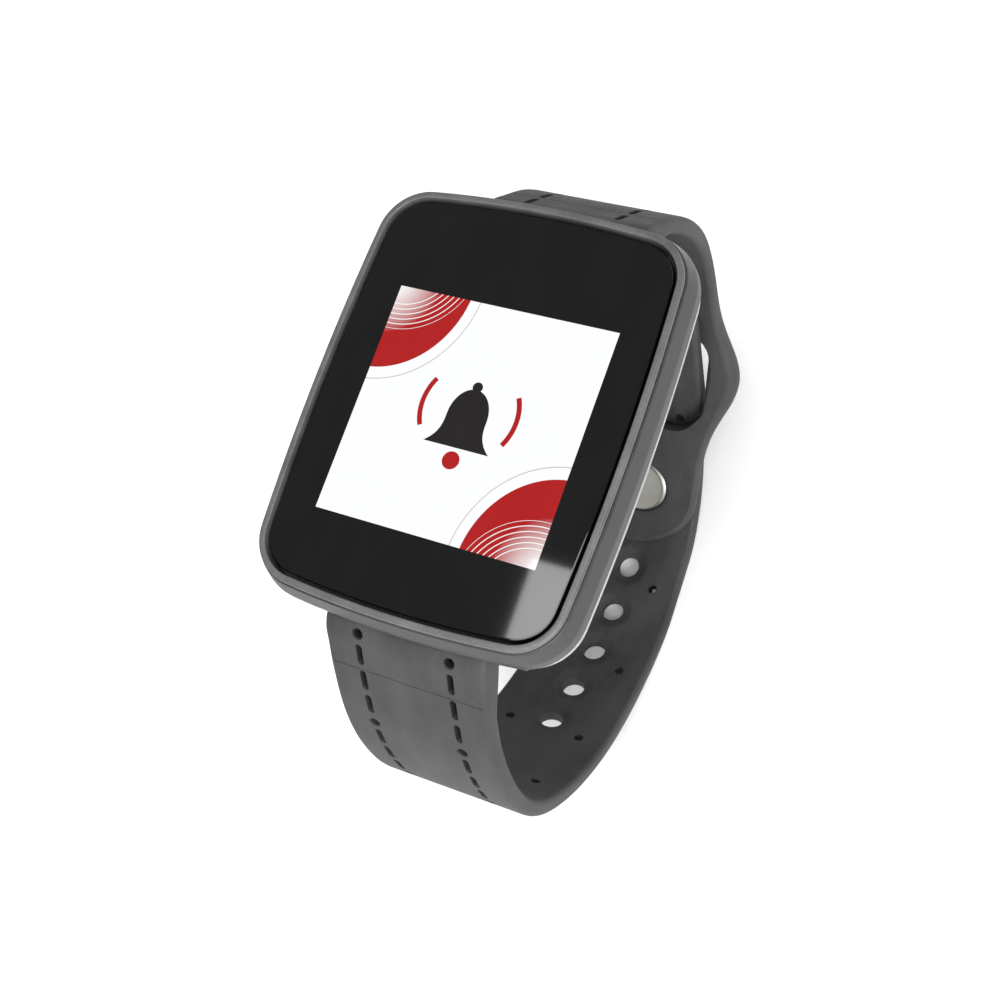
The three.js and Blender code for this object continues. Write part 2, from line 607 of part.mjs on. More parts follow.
const knuckle = (end) => cylinder(
  KNUCKLE_RADIUS, [-STRAP_END_HALF_WIDTH, end * BAR_Y, BAR_Z], [STRAP_END_HALF_WIDTH, end * BAR_Y, BAR_Z], 24);
const knuckleBore = (end) => cylinder(
  TUBE_RADIUS + 0.06, [-20, end * BAR_Y, BAR_Z], [20, end * BAR_Y, BAR_Z], 16);

// The long strap: a band, and past the split a tail that buttons on the stud and tucks through the slot.
const STUD_PLACE = nearest(longCurve, 14.3, -65.6);
const SPLIT_PLACE = nearest(longCurve, 3.4, -70.1);
const STUD_HOLE_RADIUS = 1.65;
const studHole = (number) => alongInward(
  longCurve, -1, STUD_PLACE + (number * STUD_PITCH) / lengthOf.long, STUD_HOLE_RADIUS, 4);

place('long_strap_band', cut(
  join(strapBand(longCurve, -1, 0, SPLIT_PLACE, 46, longHalfWidth, strapThickness), knuckle(-1)),
  knuckleBore(-1),
  ...[-2, -3, -4, -5, -6].map(studHole),
), silicone);
place('long_strap_tail', cut(
  strapBand(longCurve, -1, SPLIT_PLACE + 0.3 / lengthOf.long, 1, 40, longHalfWidth, strapThickness),
  ...[-1, 0, 1].map(studHole),
), silicone);

const shortStud = nearest(shortCurve, 12.9, -63.6);
const stud = { plate: 4.0, plateDepth: 0.7, recess: 0.6, post: 1.3, button: 2.35, buttonDepth: 1.0 };
const studAt = (depth) => {
  const { point, inward } = strapFrame(shortCurve, 1, shortStud);
  return point.clone().addScaledVector(inward, depth).toArray();
};
const studFace = STRAP_THICKNESS - stud.recess;
const studRecess = cylinder(stud.plate + 0.3, studAt(studFace), studAt(studFace + 5), 28);
const slotCutter = (() => {
  const { point, tangent, inward } = strapFrame(shortCurve, 1, SLOT_PLACE);
  const across = new THREE.Vector3(1, 0, 0);
  const turn = new THREE.Matrix4().makeBasis(across, tangent, across.clone().cross(tangent));
  turn.setPosition(point.addScaledVector(inward, STRAP_THICKNESS / 2));
  return roundedPlate(2 * SLOT_HALF_WIDTH, SLOT_LENGTH, 4, -7, 7).transform(turn.elements);
})();
place('short_strap', cut(
  join(strapBand(shortCurve, 1, 0, 1, 64, shortHalfWidth, strapThickness), knuckle(1)),
  knuckleBore(1),
  alongInward(shortCurve, 1, shortStud, stud.post + 0.1, 4),
  studRecess,
  slotCutter,
), silicone);

// Closure stud: a flat plate on the inner face, a post through both straps and a button outside.
const buttonFace = -(STRAP_THICKNESS + 2 * TOUCH_GAP);
const studSolid = join(
  cylinder(stud.plate, studAt(studFace + 0.05), studAt(studFace + stud.plateDepth), 28, stud.plate - 0.2),
  cylinder(stud.post, studAt(studFace + 0.1), studAt(buttonFace - 0.1), 16),
  cylinder(stud.button, studAt(buttonFace), studAt(buttonFace - stud.buttonDepth), 20, stud.button - 0.5),
);
place('closure_stud', studSolid, steel);

pager.updateMatrixWorld(true);
export default pager;
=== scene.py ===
"""Looks of a wrist pager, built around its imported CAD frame.

Shapes are written in millimetres from the middle of the glass's front face, the place that the case's
dimensions are taken from. settle() moves a finished shape into the row frame, in metres.
"""

import math

import bpy
import numpy as np
from mathutils import Matrix, Vector


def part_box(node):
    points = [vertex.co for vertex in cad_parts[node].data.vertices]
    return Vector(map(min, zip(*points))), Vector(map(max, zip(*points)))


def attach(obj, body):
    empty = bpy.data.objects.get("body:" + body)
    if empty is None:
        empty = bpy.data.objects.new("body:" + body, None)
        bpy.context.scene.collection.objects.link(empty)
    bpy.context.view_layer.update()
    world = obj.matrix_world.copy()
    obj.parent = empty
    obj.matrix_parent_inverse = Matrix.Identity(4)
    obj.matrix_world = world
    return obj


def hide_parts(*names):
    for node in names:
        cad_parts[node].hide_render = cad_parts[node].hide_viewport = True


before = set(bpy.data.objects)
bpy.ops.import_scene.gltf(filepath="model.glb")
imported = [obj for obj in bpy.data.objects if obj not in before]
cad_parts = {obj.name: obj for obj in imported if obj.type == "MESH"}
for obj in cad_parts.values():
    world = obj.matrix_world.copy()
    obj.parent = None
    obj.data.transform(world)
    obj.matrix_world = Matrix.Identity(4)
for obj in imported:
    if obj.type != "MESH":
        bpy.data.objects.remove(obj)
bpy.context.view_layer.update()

MM = 0.001
glass_low, glass_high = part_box("glass_lens")
GLASS = Vector(((glass_low.x + glass_high.x) / 2, (glass_low.y + glass_high.y) / 2, glass_high.z))
HALF_WIDTH = (glass_high.x - glass_low.x) / 2 / MM
HALF_LENGTH = (glass_high.y - glass_low.y) / 2 / MM
BOTH = (-1, 1)

# ---------------------------------------------------------------- camera, in mm from the glass
CAMERA_PLACE = Vector((77.25, -40.92, 154.78))
CAMERA_LOOK = Vector((-0.40396, 0.18513, -0.89585))
CAMERA_UP = Vector((-0.24208, 0.92276, 0.29985))
CAMERA_LENS = 57.6
CAMERA_SENSOR = 36
NEAREST_SEEN = 0.01                 # metres

camera_data = bpy.data.cameras.new("camera")
camera_data.lens = CAMERA_LENS
camera_data.sensor_width = CAMERA_SENSOR
camera_data.clip_start = NEAREST_SEEN
camera = bpy.data.objects.new("camera", camera_data)
bpy.context.scene.collection.objects.link(camera)
bpy.context.scene.camera = camera
right = CAMERA_LOOK.cross(CAMERA_UP).normalized()
up = right.cross(CAMERA_LOOK).normalized()
turn = Matrix((right, up, -CAMERA_LOOK.normalized())).transposed()
camera.matrix_world = Matrix.Translation(GLASS + CAMERA_PLACE * MM) @ turn.to_4x4()


# ---------------------------------------------------------------- materials
NOISE_ROUGHNESS = 0.55


class Finish:
    """One material. Values that are the same all over go straight on the shader's sockets."""

    def __init__(self, name, **uniform):
        self.material = bpy.data.materials.new(name)
        self.material.use_nodes = True
        self.tree = self.material.node_tree
        self.surface = self.tree.nodes["Principled BSDF"]
        for socket, value in uniform.items():
            self.surface.inputs[socket.replace("_", " ")].default_value = value
        place = self.node("ShaderNodeTexCoord").outputs["Object"]
        ends = {0: place, 1: GLASS}
        from_glass = self.node("ShaderNodeVectorMath", ends, operation="SUBTRACT").outputs[0]
        to_mm = {0: from_glass, "Scale": 1 / MM}
        self.place = self.node("ShaderNodeVectorMath", to_mm, operation="SCALE").outputs[0]

    def node(self, kind, inputs=None, **settings):
        made = self.tree.nodes.new(kind)
        for key, value in settings.items():
            setattr(made, key, value)
        for key, value in (inputs or {}).items():
            self.feed(made.inputs[key], value)
        return made

    def feed(self, socket, value):
        if isinstance(value, bpy.types.NodeSocket):
            self.tree.links.new(value, socket)
        else:
            socket.default_value = value

    def to(self, socket, value):
        self.feed(self.surface.inputs[socket], value)

    def math(self, operation, *values):
        return self.node("ShaderNodeMath", dict(enumerate(values)), operation=operation).outputs[0]

    def noise(self, per_mm, detail=3.0, stretch=(1, 1, 1)):
        """Noise from 0 to 1 with about per_mm features to a millimetre."""
        stretched = {0: self.place, 1: stretch}
        vector = self.node("ShaderNodeVectorMath", stretched, operation="MULTIPLY").outputs[0]
        inputs = {"Vector": vector, "Scale": per_mm, "Detail": detail, "Roughness": NOISE_ROUGHNESS}
        return self.node("ShaderNodeTexNoise", inputs).outputs[0]

    def spread(self, value, low, high, start=0.3, end=0.7):
        """value from start to end becomes low to high."""
        inputs = {0: value, 1: start, 2: end, 3: low, 4: high}
        return self.node("ShaderNodeMapRange", inputs).outputs[0]

    def mix(self, factor, first, second):
        """Colours, or sockets of them: the first where factor is 0, the second where it is 1."""
        inputs = {0: factor, 6: (*first, 1) if isinstance(first, tuple) else first}
        inputs[7] = (*second, 1) if isinstance(second, tuple) else second
        return self.node("ShaderNodeMix", inputs, data_type="RGBA").outputs[2]

    def bump(self, height, depth_mm):
        return self.node("ShaderNodeBump", {"Height": height, "Distance": depth_mm * MM}).outputs[0]


BLOTCHES_PER_MM = 0.16
BLOTCH_SHARE = 0.6                  # of the tone; the fine grain gives the rest
GRAIN_SHARE = 0.4


def moulded(name, dark, light, rough=(0.42, 0.6), grain=4.0, depth=0.012):
    """Moulded plastic or rubber: a fine grain, faint blotches and a gloss that varies with them."""
    finish = Finish(name)
    blotch = finish.noise(BLOTCHES_PER_MM, 4)
    grain_height = finish.noise(grain, 4)
    broad = finish.math("MULTIPLY", blotch, BLOTCH_SHARE)
    tone = finish.math("ADD", broad, finish.math("MULTIPLY", grain_height, GRAIN_SHARE))
    finish.to("Base Color", finish.mix(finish.spread(tone, 0, 1, 0.38, 0.62), dark, light))
    finish.to("Roughness", finish.spread(blotch, *rough))
    finish.to("Normal", finish.bump(grain_height, depth))
    return finish.material


def metal(name, dark, light, rough=(0.22, 0.36), stretch=(1, 14, 14), depth=0.004):
    """Turned or brushed metal: fine streaks across the stretched axes."""
    finish = Finish(name, Metallic=1.0)
    streak = finish.noise(1.6, 5, stretch)
    finish.to("Base Color", finish.mix(finish.spread(streak, 0, 1), dark, light))
    finish.to("Roughness", finish.spread(streak, *rough))
    finish.to("Normal", finish.bump(streak, depth))
    return finish.material


STRAP_DARK = (0.026, 0.027, 0.027)
STRAP_BLOOM = (0.044, 0.045, 0.044)
STRAP_GRAIN = (0.062, 0.062, 0.061)
STRAP_DUST = (0.3, 0.3, 0.29)


def strap_rubber():
    """Matt silicone: a dry bloom in long soft streaks, a fine skin grain and stray specks of dust."""
    finish = Finish("strap_silicone", Specular_IOR_Level=0.32)
    bloom = finish.noise(0.09, 5, (2.6, 1, 1))
    grain = finish.noise(3.2, 5)
    speck = finish.noise(2.1, 2)
    tone = finish.mix(finish.spread(bloom, 0, 1, 0.35, 0.68), STRAP_DARK, STRAP_BLOOM)
    tone = finish.mix(finish.spread(grain, 0, 0.35, 0.45, 0.75), tone, STRAP_GRAIN)
    tone = finish.mix(finish.spread(speck, 0, 0.5, 0.765, 0.79), tone, STRAP_DUST)
    finish.to("Base Color", tone)
    finish.to("Roughness", finish.spread(grain, 0.56, 0.74))
    finish.to("Normal", finish.bump(grain, 0.016))
    return finish.material


DISPLAY_X = 0.2
DISPLAY_Y = -1.4
DISPLAY_HALF = 13.86
SCREEN_WHITE = (0.97, 0.975, 0.985)
SCREEN_RED = (0.44, 0.004, 0.005)
SCREEN_INK = (0.012, 0.008, 0.01)
SCREEN_GREY = (0.5, 0.5, 0.52)
BORDER_DARK = (0.0012, 0.0014, 0.0013)
BORDER_LIGHT = (0.0026, 0.003, 0.0028)

FAN_RADIUS = 10.4
FAN_PAST = (1.2, 0.9)               # its centre lies this far outside the picture's corner
FAN_SQUEEZE = 0.92
FAN_FADE = (0.2, 0.62)              # white turns to red between these shares of the radius
ARC_SHIFT = (1.5, 2.5)              # from the fan's centre to the thin arcs' centre
ARC_PITCH = 0.62
ARC_WIDTH = 0.11
ARC_SPAN = (0.5, 0.84)              # shares of the fan's radius that the thin arcs fill
OUTER_ARC_GAP = 1.3
OUTER_ARC_HALF_WIDTH = 0.05

DOME_BASE = 0.5                     # heights above the picture's middle
DOME_HEIGHT = 3.3
BELL_HALF_WIDTH = 2.5
SKIRT_HEIGHT = 3.7
SKIRT_FLARE = 0.032
KNOB = (4.1, 0.62)                  # height and radius
CLAPPER = (-4.7, 1.05)
SOUND_Y = 1.2
SOUND_RADIUS = 5.9
SOUND_HALF_WIDTH = 0.3
SOUND_SLOPE = 0.55


class Picture(Finish):
    """Black-backed glass with the lit picture in its window: two red corner fans and a plain bell."""

    def __init__(self):
        super().__init__("cover_glass", Roughness=0.035, Specular_IOR_Level=0.5, IOR=1.5)
        axes = self.node("ShaderNodeSeparateXYZ", {0: self.place}).outputs
        self.x = self.math("SUBTRACT", axes[0], DISPLAY_X)
        self.y = self.math("SUBTRACT", axes[1], DISPLAY_Y)
        self.wide = self.math("ABSOLUTE", self.x)
        self.shown = SCREEN_WHITE

    def below(self, value, limit):
        return self.math("LESS_THAN", value, limit)

    def both(self, first, second):
        return self.math("MULTIPLY", first, second)

    def reach(self, to_x, to_y, squeeze=1.0):
        """Distance from a point of the picture."""
        across = self.math("SUBTRACT", self.x, to_x)
        along = self.math("MULTIPLY", self.math("SUBTRACT", self.y, to_y), squeeze)
        squares = self.math("ADD", self.both(across, across), self.both(along, along))
        return self.math("SQRT", squares)

    def off(self, value, middle):
        """How far value is from middle, either way."""
        return self.math("ABSOLUTE", self.math("SUBTRACT", value, middle))

    def paint(self, where, colour):
        self.shown = self.mix(where, self.shown, colour)

    def fan(self, side):
        """A red quarter disc that fades to white in its corner, with thin white arcs across it."""
        corner = (side * (DISPLAY_HALF + FAN_PAST[0]), -side * (DISPLAY_HALF + FAN_PAST[1]))
        radius = self.reach(*corner, FAN_SQUEEZE)
        strength = self.spread(radius, 0.12, 1, FAN_RADIUS * FAN_FADE[0], FAN_RADIUS * FAN_FADE[1])
        red = self.mix(strength, SCREEN_WHITE, SCREEN_RED)
        rings = self.reach(corner[0] - side * ARC_SHIFT[0], corner[1] - side * ARC_SHIFT[1])
        line = self.below(self.math("MODULO", rings, ARC_PITCH), ARC_WIDTH)
        line = self.both(line, self.math("GREATER_THAN", rings, FAN_RADIUS * ARC_SPAN[0]))
        line = self.both(line, self.below(rings, FAN_RADIUS * ARC_SPAN[1]))
        self.paint(self.below(radius, FAN_RADIUS), self.mix(line, red, SCREEN_WHITE))
        outer = self.off(radius, FAN_RADIUS + OUTER_ARC_GAP)
        self.paint(self.below(outer, OUTER_ARC_HALF_WIDTH), SCREEN_GREY)

    def bell(self):
        """A dome that flares into a skirt, a knob on top, a clapper below and two strokes of sound."""
        lift = self.math("SUBTRACT", self.y, DOME_BASE)
        share = self.math("DIVIDE", lift, DOME_HEIGHT)
        inside = self.math("MAXIMUM", self.math("SUBTRACT", 1, self.both(share, share)), 0)
        dome = self.math("MULTIPLY", self.math("SQRT", inside), BELL_HALF_WIDTH)
        fall = self.math("MAXIMUM", self.math("MULTIPLY", lift, -1), 0)
        flare = self.math("MULTIPLY", self.math("POWER", fall, 3), SKIRT_FLARE)
        skirt = self.math("ADD", BELL_HALF_WIDTH, flare)
        is_dome = self.math("GREATER_THAN", lift, 0)
        is_skirt = self.math("SUBTRACT", 1, is_dome)
        half = self.math("ADD", self.both(is_dome, dome), self.both(is_skirt, skirt))
        body = self.both(self.below(self.wide, half), self.math("GREATER_THAN", lift, -SKIRT_HEIGHT))
        body = self.both(body, self.below(lift, DOME_HEIGHT))
        self.paint(self.math("MAXIMUM", body, self.below(self.reach(0, KNOB[0]), KNOB[1])), SCREEN_INK)
        self.paint(self.below(self.reach(0, CLAPPER[0]), CLAPPER[1]), SCREEN_RED)
        stroke = self.below(self.off(self.reach(0, SOUND_Y), SOUND_RADIUS), SOUND_HALF_WIDTH)
        sector = self.below(self.off(self.y, SOUND_Y), self.math("MULTIPLY", self.wide, SOUND_SLOPE))
        self.paint(self.both(stroke, sector), SCREEN_RED)


def glass_and_picture():
    picture = Picture()
    for side in BOTH:
        picture.fan(side)
    picture.bell()
    high = picture.math("ABSOLUTE", picture.y)
    window = picture.both(picture.below(picture.wide, DISPLAY_HALF), picture.below(high, DISPLAY_HALF))
    smear = picture.noise(0.2, 3, (1, 0.4, 1))
    picture.to("Base Color", picture.mix(picture.spread(smear, 0, 1), BORDER_DARK, BORDER_LIGHT))
    picture.to("Emission Color", picture.mix(window, (0.0, 0.0, 0.0), picture.shown))
    picture.surface.inputs["Emission Strength"].default_value = 1.0
    picture.to("Normal", picture.bump(picture.noise(0.05, 1), 0.002))
    return picture.material


def circuit_board():
    """Green solder mask with brighter copper tracks under it."""
    finish = Finish("circuit_board")
    traces = finish.noise(0.9, 1, (1, 3, 1))
    weave = finish.noise(5, 2)
    from_middle = finish.math("ABSOLUTE", finish.math("SUBTRACT", traces, 0.5))
    track = finish.math("LESS_THAN", from_middle, 0.03)
    finish.to("Base Color", finish.mix(track, (0.008, 0.07, 0.03), (0.02, 0.16, 0.06)))
    finish.to("Roughness", finish.spread(weave, 0.25, 0.4))
    finish.to("Normal", finish.bump(track, 0.03))
    return finish.material


# The band, web and lugs are the same dark grey plastic as the rim, made darker here: painted shade on the
# band's wall.
case_plastic = moulded("case_plastic", (0.014, 0.015, 0.015), (0.024, 0.025, 0.025), (0.4, 0.5))
rim_plastic = moulded("rim_plastic", (0.06, 0.061, 0.061), (0.1, 0.1, 0.099), (0.3, 0.44), 3.0)
cover_plastic = moulded(
    "cover_plastic", (0.24, 0.24, 0.235), (0.31, 0.31, 0.305), (0.24, 0.34), depth=0.004)
# Near black for the faces of the case's pockets, bores and key room and of the screws' cross recesses:
# painted shade in these hollows.
pocket_painted_shade = moulded("inner_painted_shade", (0.012, 0.012, 0.012), (0.02, 0.02, 0.02), rough=(0.6, 0.75))
silicone = strap_rubber()
# Near black for the walls and floors of the straps' stitch holes and grooves and of their bars' bores:
# painted shade in these hollows.
stitch_painted_shade = moulded("stitch_painted_shade", (0.004, 0.004, 0.004), (0.009, 0.009, 0.009), rough=(0.7, 0.85))
cover_glass = glass_and_picture()
steel = metal("turned_steel", (0.42, 0.42, 0.4), (0.62, 0.62, 0.6))
stud_metal = metal("stud_metal", (0.25, 0.245, 0.225), (0.34, 0.33, 0.305), (0.34, 0.5), (5, 5, 5))
gilt = metal("gilt_contact", (0.62, 0.42, 0.14), (0.8, 0.58, 0.24), stretch=(6, 6, 6))
foil = metal("foil", (0.5, 0.51, 0.52), (0.66, 0.67, 0.68), rough=(0.3, 0.5), stretch=(3, 3, 3), depth=0.02)
seal_rubber = moulded("seal_rubber", (0.012, 0.012, 0.012), (0.025, 0.025, 0.025), rough=(0.6, 0.8))
chip_epoxy = moulded("chip_epoxy", (0.01, 0.01, 0.011), (0.022, 0.022, 0.024), rough=(0.45, 0.6), grain=6)
flex_film = moulded("flex_film", (0.3, 0.11, 0.015), (0.4, 0.17, 0.03), (0.2, 0.3), depth=0.003)
white_plastic = moulded("white_plastic", (0.62, 0.61, 0.57), (0.72, 0.71, 0.67), rough=(0.35, 0.5))
red_wire = moulded("red_wire", (0.38, 0.012, 0.01), (0.5, 0.02, 0.015), rough=(0.3, 0.45))
black_wire = moulded("black_wire", (0.01, 0.01, 0.01), (0.02, 0.02, 0.02), rough=(0.3, 0.45))
screen_film = moulded("screen_film", (0.55, 0.56, 0.58), (0.66, 0.67, 0.69), (0.15, 0.25), depth=0.002)
board_green = circuit_board()


# ---------------------------------------------------------------- shapes in millimetres
def add_mesh(name, points, faces, materials, indices=None):
    mesh = bpy.data.meshes.new(name)
    mesh.from_pydata([tuple(p) for p in points], [], faces)
    for material in materials:
        mesh.materials.append(material)
    if indices is not None:
        mesh.polygons.foreach_set("material_index", indices)
    mesh.update()
    piece = bpy.data.objects.new(name, mesh)
    bpy.context.scene.collection.objects.link(piece)
    return piece


def apply_modifiers(piece):
    bpy.context.view_layer.update()
    evaluated = piece.evaluated_get(bpy.context.evaluated_depsgraph_get())
    mesh = bpy.data.meshes.new_from_object(evaluated)
    piece.modifiers.clear()
    piece.data = mesh


def combine(piece, tool, operation):
    modifier = piece.modifiers.new("combine", "BOOLEAN")
    modifier.operation = operation
    modifier.object = tool
    modifier.solver = "EXACT"
    apply_modifiers(piece)
    bpy.data.objects.remove(tool)


def bevel(piece, width, segments=3, angle=50):
    modifier = piece.modifiers.new("bevel", "BEVEL")
    modifier.width = width
    modifier.segments = segments
    modifier.limit_method = "ANGLE"
    modifier.angle_limit = math.radians(angle)
    apply_modifiers(piece)


def lay_across(piece, y, z):
    """Lays a piece that was turned about Z along X, through that y and z."""
    piece.data.transform(Matrix.Translation((0, y, z)) @ Matrix.Rotation(math.pi / 2, 4, "Y"))


def settle(piece, body, stands_for, sharp=38):
    """Moves a finished shape from millimetres at the glass to metres in the row frame, and rides it."""
    mesh = piece.data
    mesh.transform(Matrix.Translation(GLASS) @ Matrix.Scale(MM, 4))
    mesh.shade_smooth()
    mesh.set_sharp_from_angle(angle=math.radians(sharp))
    weighted = piece.modifiers.new("weighted normals", "WEIGHTED_NORMAL")
    weighted.keep_sharp = True
    weighted.mode = "FACE_AREA"
    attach(piece, body)
    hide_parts(*stands_for)


def loft(name, rings, materials, closed=False):
    """A solid through rings of points, each counter-clockwise seen from the last one."""
    count = len(rings[0])
    points = [p for ring in rings for p in ring]
    faces = []
    spans = len(rings) if closed else len(rings) - 1
    for k in range(spans):
        low, high = k * count, ((k + 1) % len(rings)) * count
        for i in range(count):
            j = (i + 1) % count
            faces.append((low + i, low + j, high + j, high + i))
    if not closed:
        last = (len(rings) - 1) * count
        faces.append(tuple(reversed(range(count))))
        faces.append(tuple(range(last, last + count)))
    return add_mesh(name, points, faces, materials)


def soften(corners, steps=4, closed=True):
    """Corners (u, v, reach), each rounded off over its reach."""
    points = []
    for i, (u, v, reach) in enumerate(corners):
        here = Vector((u, v))
        if reach == 0 or (not closed and i in (0, len(corners) - 1)):
            points.append(here)
            continue
        before = Vector(corners[i - 1][:2])
        after = Vector(corners[(i + 1) % len(corners)][:2])
        start = here + (before - here).normalized() * reach
        end = here + (after - here).normalized() * reach
        for k in range(steps + 1):
            t = k / steps
            points.append(start * (1 - t) ** 2 + here * (2 * t * (1 - t)) + end * t**2)
    return points


SIDE_BOW = 300.0                    # radii of the outline of the glass
END_BOW = 140.0
CORNER = 4.7
SIDE_CENTRE = Vector((HALF_WIDTH - SIDE_BOW, 0))
END_CENTRE = Vector((0, HALF_LENGTH - END_BOW))


def corner_centre():
    """Middle of the corner arc, which touches the bowed side and the bowed end from inside."""
    reach_side = SIDE_BOW - CORNER
    reach_end = END_BOW - CORNER
    between = END_CENTRE - SIDE_CENTRE
    along = (reach_side**2 - reach_end**2 + between.length_squared) / (2 * between.length)
    across = math.sqrt(reach_side**2 - along**2)
    unit = between.normalized()
    return SIDE_CENTRE + unit * along + Vector((-unit.y, unit.x)) * across


CORNER_CENTRE = corner_centre()


def outline(offset, height):
    """The case outline at that offset outside the glass, counter-clockwise from 3 o'clock."""
    side_angle = math.atan2(*reversed(CORNER_CENTRE - SIDE_CENTRE))
    end_angle = math.atan2(*reversed(CORNER_CENTRE - END_CENTRE))
    arcs = (
        (SIDE_CENTRE, SIDE_BOW, 0, side_angle, 10),
        (CORNER_CENTRE, CORNER, side_angle, end_angle, 16),
        (END_CENTRE, END_BOW, end_angle, math.pi / 2, 8),
    )
    quarter = []
    for centre, radius, start, stop, steps in arcs:
        for k in range(steps):
            angle = start + (stop - start) * k / steps
            reach = radius + offset
            quarter.append((centre.x + reach * math.cos(angle), centre.y + reach * math.sin(angle)))
    quarter.append((0.0, HALF_LENGTH + offset))
    ring = quarter + [(-x, y) for x, y in reversed(quarter[:-1])]
    ring += [(-x, -y) for x, y in quarter[1:]] + [(x, -y) for x, y in reversed(quarter[1:-1])]
    return [(x, y, height) for x, y in ring]


def case_ring(name, corners, materials):
    """A ring with this section, all the way round the case: corners are (offset, height, reach)."""
    return loft(name, [outline(*p) for p in soften(corners)], materials, closed=True)


def rounded_box(name, low, high, radius, materials, index=0):
    """A box with all its edges rounded."""
    x0, y0, z0 = low
    x1, y1, z1 = high
    points = [(x, y, z) for z in (z0, z1) for y in (y0, y1) for x in (x0, x1)]
    faces = [(0, 2, 3, 1), (4, 5, 7, 6), (0, 1, 5, 4), (2, 6, 7, 3), (0, 4, 6, 2), (1, 3, 7, 5)]
    piece = add_mesh(name, points, faces, materials, [index] * 6)
    if radius:
        bevel(piece, radius)
    return piece


def turned(name, profile, materials, segments=48, index=0):
    """A solid turned about Z from (radius, height) points that start and end on the axis, going up."""
    rings = []
    for radius, height in profile[1:-1]:
        angles = [2 * math.pi * i / segments for i in range(segments)]
        rings.append([(radius * math.cos(a), radius * math.sin(a), height) for a in angles])
    points = [p for ring in rings for p in ring] + [(0, 0, profile[0][1]), (0, 0, profile[-1][1])]
    foot, head = len(points) - 2, len(points) - 1
    faces = []
    for i in range(segments):
        j = (i + 1) % segments
        faces.append((foot, j, i))
        faces.append((head, (len(rings) - 1) * segments + i, (len(rings) - 1) * segments + j))
        for k in range(len(rings) - 1):
            low, high = k * segments, (k + 1) * segments
            faces.append((low + i, low + j, high + j, high + i))
    return add_mesh(name, points, faces, materials, [index] * len(faces))


# ---------------------------------------------------------------- case
PAINTED_SHADE = 1                           # index of the near-black material, painted shade on the faces of a cut
GLASS_THICKNESS = 1.3
GLASS_EDGE = 0.3
INWARD = -3.0                       # any point of the flat front: it only directs the rounded edge


def make_glass():
    corners = [(0, -GLASS_THICKNESS, 0), (0, 0, GLASS_EDGE), (INWARD, 0, 0)]
    rings = [outline(*p) for p in soften(corners, closed=False)[:-1]]
    glass = loft("cover_glass", rings, [cover_glass])
    settle(glass, "case", ["glass_lens"])


def make_bezel():
    rim = case_ring("front_rim", [
        (0.43, -1.5, 0), (0.95, -1.5, 0), (0.95, -0.12, 0), (1.25, -0.12, 0.06),
        (1.25, 0.4, 0.3), (0.43, 0.4, 0.14),
    ], [rim_plastic])
    settle(rim, "case", ["front_bezel"])


POCKET_HALF_WIDTH = 10.95
POCKET_BACK = 21.0
POCKET_ROOF = -3.6
POCKET_REACH = 20
LUG_OUTER = 14.0
LUG_TIP = 24.9
LUG_BOTTOM = -9.2
LUG_TOP = -3.8
END_WALL = 20.0
BAR_Y = 23.7
BAR_Z = -6.9
LUG_CLEARANCE = 0.25
KEY_Y = 6.0
KEY_Z = -3.35
KEY_HALF_LENGTH = 3.6
KEY_HALF_HEIGHT = 0.75
KEY_FACE = -20.93
KEY_BACK = -19.1
KEY_ROOM_FLOOR = -18.6
PAST = 30                           # a cutter reaches this far, well past the case
SCREWS = ((13.2, 16.6), (-13.2, 16.6), (-13.2, -16.6), (13.2, -16.6))
CONTACTS = ((-3, 15.6), (3, 15.6))
BACK = -12.0


def make_case():
    """The dark band with its web, two lugs at each end and what is cut out of them."""
    # The second skin is the near-black painted shade, on the faces of the hollows cut out below.
    skins = [case_plastic, pocket_painted_shade]
    wall = case_ring("case_band", [
        (-1.5, -4.8, 0), (1.8, -4.8, 0.1), (2.1, -4.3, 0.15), (2.1, -2.7, 0.25),
        (1.45, -0.32, 0.2), (1.0, -0.32, 0), (1.0, -2.45, 0), (-1.5, -2.45, 0),
    ], skins)
    web = loft("web", [outline(-1.2, -4.5), outline(-1.2, -3.7)], [case_plastic])
    combine(wall, web, "UNION")
    for end in BOTH:
        near, far = sorted((end * END_WALL, end * LUG_TIP))
        low, high = (-LUG_OUTER, near, LUG_BOTTOM), (LUG_OUTER, far, LUG_TOP)
        combine(wall, rounded_box("lug", low, high, 0.7, [case_plastic]), "UNION")
        near, far = sorted((end * POCKET_BACK, end * (POCKET_BACK + POCKET_REACH)))
        low, high = (-POCKET_HALF_WIDTH, near, -PAST), (POCKET_HALF_WIDTH, far, POCKET_ROOF)
        combine(wall, rounded_box("pocket", low, high, 0.45, skins, PAINTED_SHADE), "DIFFERENCE")
        bore = turned("bore", [(0, -13), (0.56, -13), (0.56, 13), (0, 13)], skins, 20, PAINTED_SHADE)
        lay_across(bore, end * BAR_Y, BAR_Z)
        combine(wall, bore, "DIFFERENCE")
    low = (-PAST, KEY_Y - KEY_HALF_LENGTH - 0.15, KEY_Z - KEY_HALF_HEIGHT - 0.13)
    high = (KEY_ROOM_FLOOR, KEY_Y + KEY_HALF_LENGTH + 0.15, KEY_Z + KEY_HALF_HEIGHT + 0.13)
    combine(wall, rounded_box("key_room", low, high, 0.7, skins, PAINTED_SHADE), "DIFFERENCE")
    key_bore = turned("key_bore", [(0, -20), (0.6, -20), (0.6, -15), (0, -15)], skins, 24, PAINTED_SHADE)
    lay_across(key_bore, KEY_Y, KEY_Z)
    combine(wall, key_bore, "DIFFERENCE")
    settle(wall, "case", ["mid_case"])


